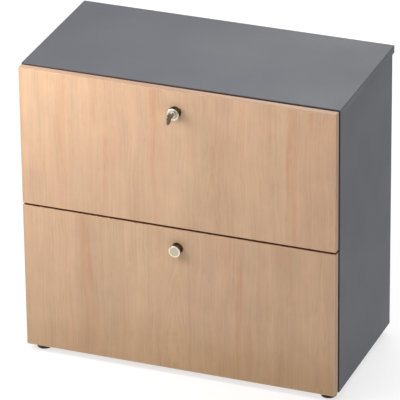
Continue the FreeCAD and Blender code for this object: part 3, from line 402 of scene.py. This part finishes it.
def bearing(name):
    g = Graph(name)
    smear = g.noise(g.scaled(1, 1, 1), 220.0, 3.0)
    colour = g.shade((0.66, 0.66, 0.67), g.add(1.0, g.mul(g.sub(smear, 0.5), 0.14)))
    oil = g.span(g.noise(g.scaled(1, 1, 1, 9, 0, 0), 35.0, 3.0), 0.50, 0.70)
    colour = g.mixc(g.mul(oil, 0.35), colour, (0.46, 0.40, 0.28))
    rough = g.add(0.16, g.mul(g.sub(smear, 0.5), 0.14))
    g.set(Base_Color=colour, Roughness=rough, Normal=g.bump(smear, 0.00002, 0.4))
    g.bsdf.inputs["Metallic"].default_value = 1.0
    return g.mat


# satin nickel, turned: concentric tool marks on the faces, a painted highlight ring at the rim, and painted shade with
# a painted wood reflection on the side wall behind the rim
def nickel(name, centre, face_y, radius, wall_shade_colour=(0.030, 0.019, 0.010), base=(0.560, 0.500, 0.390), rough0=0.34):
    g = Graph(name)
    x, y, z = g.sep(g.P)
    dx, dz = g.sub(x, centre.x), g.sub(z, centre.z)
    r = g.math("SQRT", g.add(g.mul(dx, dx), g.mul(dz, dz)))
    nx, ny, nz = g.sep(g.N)
    # mask of the side wall, which gets painted shade and a painted reflection
    shaded_wall = g.span(g.math("ABSOLUTE", ny), 0.30, 0.62, 1.0, 0.0)
    shaded_wall = g.mul(shaded_wall, g.span(y, face_y + 0.0010, face_y + 0.0018))
    turn = g.noise(g.vec(g.mul(r, 5200.0), 0.0, 0.0), 1.0, 2.0, 0.7)
    swirl = g.noise(g.vec(g.mul(r, 1500.0), g.mul(dx, 60.0), g.mul(dz, 60.0)), 1.0, 2.0)
    tarn = g.noise(g.scaled(1, 1, 1), 160.0, 3.0)
    f = g.mul(g.add(1.0, g.mul(g.sub(turn, 0.5), 0.26)), g.add(1.0, g.mul(g.sub(swirl, 0.5), 0.20)))
    colour = g.shade(base, f)
    colour = g.mixc(g.span(tarn, 0.42, 0.70, 0.0, 0.4), colour, (0.52, 0.47, 0.37))
    # painted highlight: a bright ring on the outer part of the face, where the chamfer would catch the light
    rim_highlight = g.mul(g.span(r, radius - 0.0042, radius - 0.0032), g.span(y, face_y + 0.0016, face_y + 0.0008))
    colour = g.mixc(g.mul(rim_highlight, 0.85), colour, (0.92, 0.83, 0.68))
    # painted shade and reflection on the side wall: dark all round, with a brownish painted reflection of the wood
    # towards the upper right
    lean = g.math("DIVIDE", g.add(g.mul(dx, 0.62), g.mul(dz, 0.78)), g.add(r, 0.00001))
    wall_reflection = g.mixc(g.span(lean, 0.80, 1.0, 0.0, 1.0, True), wall_shade_colour, (0.150, 0.098, 0.050))
    colour = g.mixc(shaded_wall, colour, wall_reflection)
    worn = g.edge(0.0004, 2.2)
    colour = g.mixc(g.mul(worn, g.mul(g.sub(1.0, shaded_wall), 0.4)), colour, (0.90, 0.84, 0.72))
    rough = g.add(rough0, g.mul(g.sub(turn, 0.5), 0.16))
    rough = g.add(rough, g.mul(g.sub(tarn, 0.5), 0.20))
    rough = g.mixf(shaded_wall, rough, 0.42)
    g.set(Base_Color=colour, Roughness=rough, Normal=g.bump(turn, 0.00002, 0.5))
    g.bsdf.inputs["Metallic"].default_value = 1.0
    return g.mat


def nickel_key(name):
    g = Graph(name)
    mark = g.noise(g.scaled(900, 60, 60), 1.0, 3.0, 0.6)
    tarn = g.noise(g.scaled(1, 1, 1), 240.0, 3.0)
    colour = g.shade((0.235, 0.220, 0.200), g.add(1.0, g.mul(g.sub(mark, 0.5), 0.25)))
    colour = g.mixc(g.span(tarn, 0.45, 0.70, 0.0, 0.45), colour, (0.15, 0.135, 0.115))
    worn = g.edge(0.0004, 2.4)
    colour = g.mixc(g.mul(worn, 0.5), colour, (0.62, 0.58, 0.51))
    rough = g.add(0.40, g.mul(g.sub(tarn, 0.5), 0.22))
    rough = g.add(rough, g.mul(g.sub(mark, 0.5), 0.12))
    g.set(Base_Color=colour, Roughness=rough, Normal=g.bump(mark, 0.00002, 0.5))
    g.bsdf.inputs["Metallic"].default_value = 1.0
    return g.mat


def plastic(name, base, rough0=0.5, grain=1400.0, depth=0.00010, spec=0.45, translucent=False):
    g = Graph(name)
    fine = g.noise(g.scaled(1, 1, 1), grain, 2.0, 0.5)
    wide = g.noise(g.scaled(1, 1, 1, 7, 0, 0), 45.0, 3.0)
    f = g.mul(g.add(1.0, g.mul(g.sub(fine, 0.5), 0.14)), g.add(1.0, g.mul(g.sub(wide, 0.5), 0.16)))
    colour = g.shade(base, f)
    worn = g.edge(0.0006, 2.2)
    colour = g.mixc(g.mul(worn, 0.22), colour, tuple(min(1, c * 1.4 + 0.05) for c in base))
    rough = g.add(rough0, g.mul(g.sub(wide, 0.5), 0.20))
    rough = g.add(rough, g.mul(g.sub(fine, 0.5), 0.10))
    g.set(Base_Color=colour, Roughness=rough, Normal=g.bump(fine, depth, 0.5))
    g.bsdf.inputs["Specular IOR Level"].default_value = spec
    if translucent:
        g.bsdf.inputs["Transmission Weight"].default_value = 0.45
    return g.mat


def foot(name, cx, cy):
    """Black textured pad on a zinc-plated screw."""
    g = Graph(name)
    x, y, z = g.sep(g.P)
    dx, dy = g.sub(x, cx), g.sub(y, cy)
    r = g.math("SQRT", g.add(g.mul(dx, dx), g.mul(dy, dy)))
    steel = g.mul(g.span(r, 0.0052, 0.0050), g.span(z, 0.0158, 0.0156, 0.0, 1.0))
    steel = g.mul(g.span(r, 0.0050, 0.0052, 1.0, 0.0), g.span(z, 0.0154, 0.0156))
    fine = g.noise(g.scaled(1, 1, 1), 1500.0, 2.0)
    wide = g.noise(g.scaled(1, 1, 1, 7, 0, 0), 60.0, 3.0)
    black = g.shade((0.018, 0.018, 0.019), g.add(1.0, g.mul(g.sub(wide, 0.5), 0.6)))
    dust = g.span(z, 0.0, 0.004, 0.20, 0.0)
    black = g.mixc(dust, black, (0.16, 0.15, 0.14))
    thread = g.math("SINE", g.mul(z, 2 * math.pi / 0.0015))
    metal = g.shade((0.56, 0.58, 0.60), g.add(1.0, g.mul(thread, 0.12)))
    g.set(Base_Color=g.mixc(steel, black, metal), Metallic=steel,
          Roughness=g.mixf(steel, g.add(0.52, g.mul(g.sub(wide, 0.5), 0.2)), 0.32),
          Normal=g.bump(g.mixf(steel, g.mul(fine, 0.15), thread), 0.0006, 0.4))
    return g.mat


GREY = (0.0875, 0.0945, 0.1130)
mats = {
    "beech_edge_strip": beech("beech_edge_strip", 1.7, strip=True),
    "grey_board": melamine("grey_board", GREY),
    "grey_edge_strip": melamine("grey_edge_strip", tuple(c * 1.06 for c in GREY), 3.0, 0.90, 0.42),
    "grey_back_board": back_board("grey_back_board", (0.125, 0.133, 0.150)),
    "dowel_wood": dowel("dowel_wood"),
    "zinc_fitting": cast_zinc("zinc_fitting"),
    "zinc_plated_steel": zinc("zinc_plated_steel"),
    "bearing_steel": bearing("bearing_steel"),
    "grey_painted_steel": powder("grey_painted_steel", (0.520, 0.530, 0.540)),
    "black_plastic": plastic("black_plastic", (0.020, 0.020, 0.021), 0.55),
    "white_plastic": plastic("white_plastic", (0.740, 0.740, 0.720), 0.42),
    "grey_plastic": plastic("grey_plastic", (0.200, 0.205, 0.210), 0.48),
    "clear_rubber": plastic("clear_rubber", (0.700, 0.700, 0.680), 0.30, 600.0, 0.00005, 0.5, True),
    "nickel_key": nickel_key("nickel_key"),
}
own = {
    "upper_front_panel": beech("beech_decor_upper", 0.0, staves=(-0.305, -0.150, 0.022, 0.146, 0.262),
                               tones=(0.004, -0.004, 0.002, -0.044, 0.020, 0.020),
                               hearts=((0.092, 0.655, 0.030, 0.0085),),
                               flames=((-0.182, 0.45, 0.72, 0.010, 0.01, 0.34), (0.281, 0.56, 0.74, 0.007, 0.02, 0.72), (0.277, 0.40, 0.56, 0.006, 0.02, 0.35),
                                       (0.096, 0.50, 0.70, 0.008, 0.02, 0.30), (0.040, 0.57, 0.66, 0.010, 0.0, 0.28))),
    "lower_front_panel": beech("beech_decor_lower", 5.0, staves=(-0.262, -0.137, 0.028, 0.142, 0.262),
                               tones=(0.030, -0.030, 0.026, 0.000, -0.024, -0.006),
                               hearts=((-0.006, 0.300, 0.044, 0.0090), (0.362, 0.270, 0.030, 0.0080)),
                               flames=((-0.232, 0.20, 0.40, 0.013, -0.05, 0.72), (-0.229, 0.03, 0.22, 0.017, 0.01, 0.38), (0.156, 0.03, 0.37, 0.011, 0.01, 0.55),
                                       (0.283, 0.24, 0.38, 0.008, 0.0, 0.26), (0.006, 0.20, 0.31, 0.008, 0.03, 0.40)), foot=0.17),
    "lower_knob": nickel("satin_nickel_knob", KNOB_C, KNOB[0][1], (KNOB[1][0] - KNOB[0][0]) / 2),
}
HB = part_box("lock_housing")
own["lock_housing"] = nickel("satin_nickel_housing", LOCK_C, HB[0][1], 0.014)
own["lock_plug"] = nickel("satin_nickel_plug", LOCK_C, HB[0][1], 0.0, (0.30, 0.27, 0.21), (0.60, 0.56, 0.47))
for n in ("foot_front_left", "foot_front_right", "foot_rear_left", "foot_rear_right"):
    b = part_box(n)
    own[n] = foot(n, (b[0][0] + b[1][0]) / 2, (b[0][1] + b[1][1]) / 2)
vertical = zinc("zinc_plated_steel_upright", along="z")
sideways = zinc("zinc_plated_steel_level", along="x")
own["lock_bar"] = vertical
own["cross_bar"] = sideways

slot_of = {p["node"] if "node" in p else p["name"]: p["material_slot"] for p in frame["record"]["subparts"]}
for name, ob in NODES.items():
    m = own.get(name) or mats[slot_of[name]]
    for k in range(max(1, len(ob.material_slots))):
        if not ob.material_slots:
            ob.data.materials.append(m)
        else:
            ob.material_slots[k].material = m


# ---------------------------------------------------------------------------
# floor
def make_floor():
    me = bpy.data.meshes.new("floor")
    s, n = 120.0, 8
    verts = [(-s + 2 * s * i / n, -s + 2 * s * j / n, 0.0) for j in range(n + 1) for i in range(n + 1)]
    faces = [(j * (n + 1) + i, j * (n + 1) + i + 1, (j + 1) * (n + 1) + i + 1, (j + 1) * (n + 1) + i) for j in range(n) for i in range(n)]
    me.from_pydata(verts, [], faces)
    ob = bpy.data.objects.new("floor", me)
    bpy.context.scene.collection.objects.link(ob)
    g = Graph("studio_floor")
    wide = g.noise(g.scaled(1, 1, 1), 1.5, 2.0)
    colour = g.shade((0.45, 0.45, 0.45), g.add(1.0, g.mul(g.sub(wide, 0.5), 0.01)))
    g.set(Base_Color=colour, Roughness=g.add(0.70, g.mul(g.sub(wide, 0.5), 0.05)))
    g.bsdf.inputs["Specular IOR Level"].default_value = 0.2
    g.bsdf.inputs["Emission Color"].default_value = (1, 1, 1, 1)
    g.bsdf.inputs["Emission Strength"].default_value = 0.71
    me.materials.append(g.mat)
    return ob


make_floor()


# ---------------------------------------------------------------------------
# light and camera
def area(name, loc, aim, size, power, colour=(1, 1, 1)):
    d = bpy.data.lights.new(name, "AREA")
    d.shape = "RECTANGLE"
    d.size, d.size_y = size
    d.energy = power
    d.color = colour
    o = bpy.data.objects.new(name, d)
    bpy.context.scene.collection.objects.link(o)
    o.location = loc
    o.rotation_mode = "QUATERNION"
    o.rotation_quaternion = (Vector(aim) - Vector(loc)).to_track_quat("-Z", "Y")
    return o


world = bpy.data.worlds.new("studio")
world.use_nodes = True
bg = world.node_tree.nodes["Background"]
bg.inputs["Color"].default_value = (1, 1, 1, 1)
bg.inputs["Strength"].default_value = 0.10
bpy.context.scene.world = world

area("overhead", (0.0, 1.3, 3.2), (0.0, 0.2, 0.0), (2.6, 2.6), 20.0)
area("rear", (0.0, 2.4, 2.6), (0.0, 0.2, 0.4), (2.2, 2.2), 38.0)
area("rear_left", (-1.2, 2.8, 1.9), (0.0, 0.2, 0.76), (2.4, 1.4), 15.0)
area("strip", (0.0, FRONT_Y - 0.78, 1.50), (0.1, FRONT_Y, 0.5), (1.8, 0.5), 7.9)
area("key", (-0.62, FRONT_Y - 0.58, 1.00), (-0.30, FRONT_Y, 0.52), (0.6, 0.6), 6.3)

cam_data = bpy.data.cameras.new("camera")
cam = bpy.data.objects.new("camera", cam_data)
bpy.context.scene.collection.objects.link(cam)
AZ, EL, DIST = math.radians(21.6365), math.radians(26.6717), 9.842
OAZ, OEL, ROLL = math.radians(21.2779), math.radians(26.2504), math.radians(-0.6871)
target = Vector((0, FRONT_Y, 0.375 + FOOT_Z))


def back_of(a, e):
    return Vector((math.sin(a) * math.cos(e), -math.cos(a) * math.cos(e), math.sin(e)))


bk = back_of(OAZ, OEL)
rt = Vector((math.cos(OAZ), math.sin(OAZ), 0))
up = bk.cross(rt)
c, s = math.cos(ROLL), math.sin(ROLL)
rt, up = rt * c + up * s, up * c - rt * s
m = Matrix((rt, up, bk)).transposed().to_4x4()
m.translation = target + back_of(AZ, EL) * DIST
cam.matrix_world = m
cam_data.sensor_width = 36.0
cam_data.sensor_fit = "HORIZONTAL"
cam_data.lens = 4153.36 / 400 * 36.0
cam_data.clip_start, cam_data.clip_end = 0.5, 400.0
bpy.context.scene.camera = cam
bpy.context.scene.view_settings.view_transform = "Standard"
bpy.context.scene.view_settings.look = "None"
